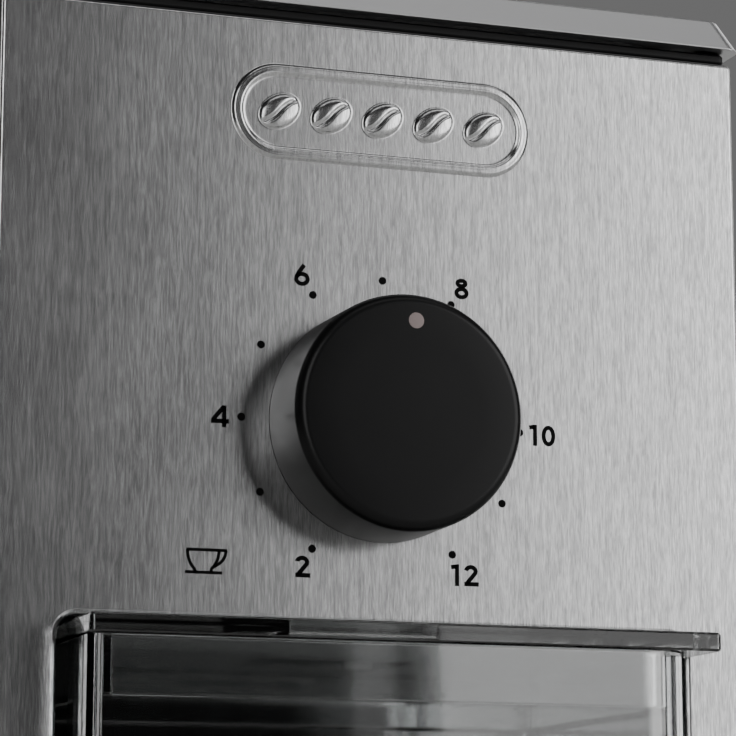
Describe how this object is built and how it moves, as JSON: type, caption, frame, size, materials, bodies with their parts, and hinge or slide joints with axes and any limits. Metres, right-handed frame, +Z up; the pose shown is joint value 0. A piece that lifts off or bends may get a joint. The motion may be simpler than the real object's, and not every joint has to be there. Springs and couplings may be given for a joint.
{
  "type": "burr coffee grinder",
  "caption": "Upright burr coffee grinder: steel front, cup dial, side fineness dial, bean hopper with lift-off lid, start button and clear slide-out grounds container.",
  "frame": {"origin": "centre of the bounding box at the bottom, on the surface the feet stand on", "axes": "+Z up, -Y towards the user, out of the steel front, and +X to the right seen from the front"},
  "size_m": [0.1334, 0.16, 0.26],
  "materials": {
    "steel": "vertical brushed grain",
    "black_plastic": "fine texture",
    "soft_black": "soft-touch matte",
    "marker": "matte",
    "clear_plastic": "clear polished",
    "lid_plastic": "satin silver grey",
    "grey_plastic": "moulded",
    "burr_steel": "hardened and ground",
    "bright_steel": "bright turned",
    "zinc": "plated sheet",
    "brass": "turned",
    "copper": "lacquered windings",
    "white_nylon": "moulded",
    "rubber": "matte",
    "board_green": "lacquered",
    "carbon": "pressed"
  },
  "bodies": {
    "body": {"main_housing": "black_plastic", "base_plate": "black_plastic", "rubber_foot_front_left": "rubber", "rubber_foot_front_right": "rubber", "rubber_foot_rear_left": "rubber", "rubber_foot_rear_right": "rubber", "front_panel": "steel", "container_bay": "black_plastic", "bean_hopper": "black_plastic", "hopper_gasket": "rubber", "grinding_chamber": "grey_plastic", "grounds_chute": "grey_plastic", "gearbox_plate": "zinc", "plate_screw_left_front": "bright_steel", "plate_screw_left_rear": "bright_steel", "plate_screw_right_front": "bright_steel", "plate_screw_right_rear": "bright_steel", "gearbox_cover": "grey_plastic", "lower_bearing": "brass", "upper_bearing": "brass", "motor_can": "zinc", "motor_end_cap": "black_plastic", "field_magnet_left": "carbon", "field_magnet_right": "carbon", "carbon_brush_left": "carbon", "carbon_brush_right": "carbon", "dose_timer": "zinc", "timer_screw_left": "bright_steel", "timer_screw_right": "bright_steel", "button_spring": "bright_steel", "start_switch": "black_plastic", "interlock_spring": "bright_steel", "interlock_switch": "black_plastic", "circuit_board": "board_green", "terminal_block": "white_nylon", "cord_gland": "rubber"},
    "container": {"grounds_container": "clear_plastic", "container_lid": "clear_plastic"},
    "hopper_lid": {"hopper_lid": "lid_plastic"},
    "cup_dial": {"cup_knob": "soft_black", "knob_marker": "marker", "timer_shaft": "brass"},
    "fineness_dial": {"fineness_dial": "soft_black", "fineness_pinion": "white_nylon"},
    "adjust_ring": {"adjust_ring": "white_nylon"},
    "upper_burr": {"upper_burr": "burr_steel", "upper_burr_carrier": "grey_plastic"},
    "burr_drive": {"burr_shaft": "bright_steel", "burr_gear": "white_nylon", "shaft_clip": "bright_steel", "burr_nut": "bright_steel", "lower_burr_carrier": "grey_plastic", "lower_burr": "burr_steel"},
    "rotor": {"motor_shaft": "bright_steel", "motor_pinion": "brass", "armature": "copper", "commutator": "copper", "cooling_fan": "white_nylon"},
    "start_button": {"start_button": "soft_black"},
    "interlock_pin": {"interlock_pin": "white_nylon"}
  },
  "joints": [
    {"name": "container_slide", "type": "slide", "parent": "body", "child": "container", "axis": [0, -1, 0], "range_m": [0, 0.11]},
    {"name": "hopper_lid_lift", "type": "slide", "parent": "body", "child": "hopper_lid", "axis": [0, 0, 1], "range_m": [0, 0.06]},
    {"name": "cup_dial_turn", "type": "hinge", "parent": "body", "child": "cup_dial", "pos_m": [0, -0.0654, 0.1823], "axis": [0, -1, 0], "range_deg": [-147.3, 152.7]},
    {"name": "fineness_dial_turn", "type": "hinge", "parent": "body", "child": "fineness_dial", "pos_m": [-0.065, 0.012, 0.198], "axis": [-1, 0, 0], "range_deg": [-50, 220]},
    {"name": "adjust_ring_turn", "type": "hinge", "parent": "body", "child": "adjust_ring", "pos_m": [0, 0.012, 0.2062], "axis": [0, 0, 1], "range_deg": [-34.95, 7.95]},
    {"name": "upper_burr_lift", "type": "slide", "parent": "body", "child": "upper_burr", "axis": [0, 0, 1], "range_m": [-0.00032, 0.0014]},
    {"name": "motor_spin", "type": "hinge", "parent": "body", "child": "rotor", "pos_m": [0, 0.05, 0.107], "axis": [0, 0, 1], "continuous": true},
    {"name": "burr_spin", "type": "hinge", "parent": "body", "child": "burr_drive", "pos_m": [0, 0.012, 0.174], "axis": [0, 0, 1], "continuous": true},
    {"name": "start_button_press", "type": "slide", "parent": "body", "child": "start_button", "axis": [-1, 0, 0], "range_m": [0, 0.0025], "stiffness_N_per_m": 400, "springref_m": -0.001, "deforming": ["button_spring"]},
    {"name": "interlock_pin_slide", "type": "slide", "parent": "body", "child": "interlock_pin", "axis": [0, -1, 0], "range_m": [0, 0.003], "deforming": ["interlock_spring"]}
  ],
  "couplings": [
    {"joint": "burr_spin", "follows": "motor_spin", "ratio": -0.1875},
    {"joint": "fineness_dial_turn", "follows": "adjust_ring_turn", "ratio": -6.2857},
    {"joint": "upper_burr_lift", "follows": "adjust_ring_turn", "m_per_rad": -0.0022629},
    {"joint": "interlock_pin_slide", "follows": "container_slide", "ratio": 0.027273}
  ]
}
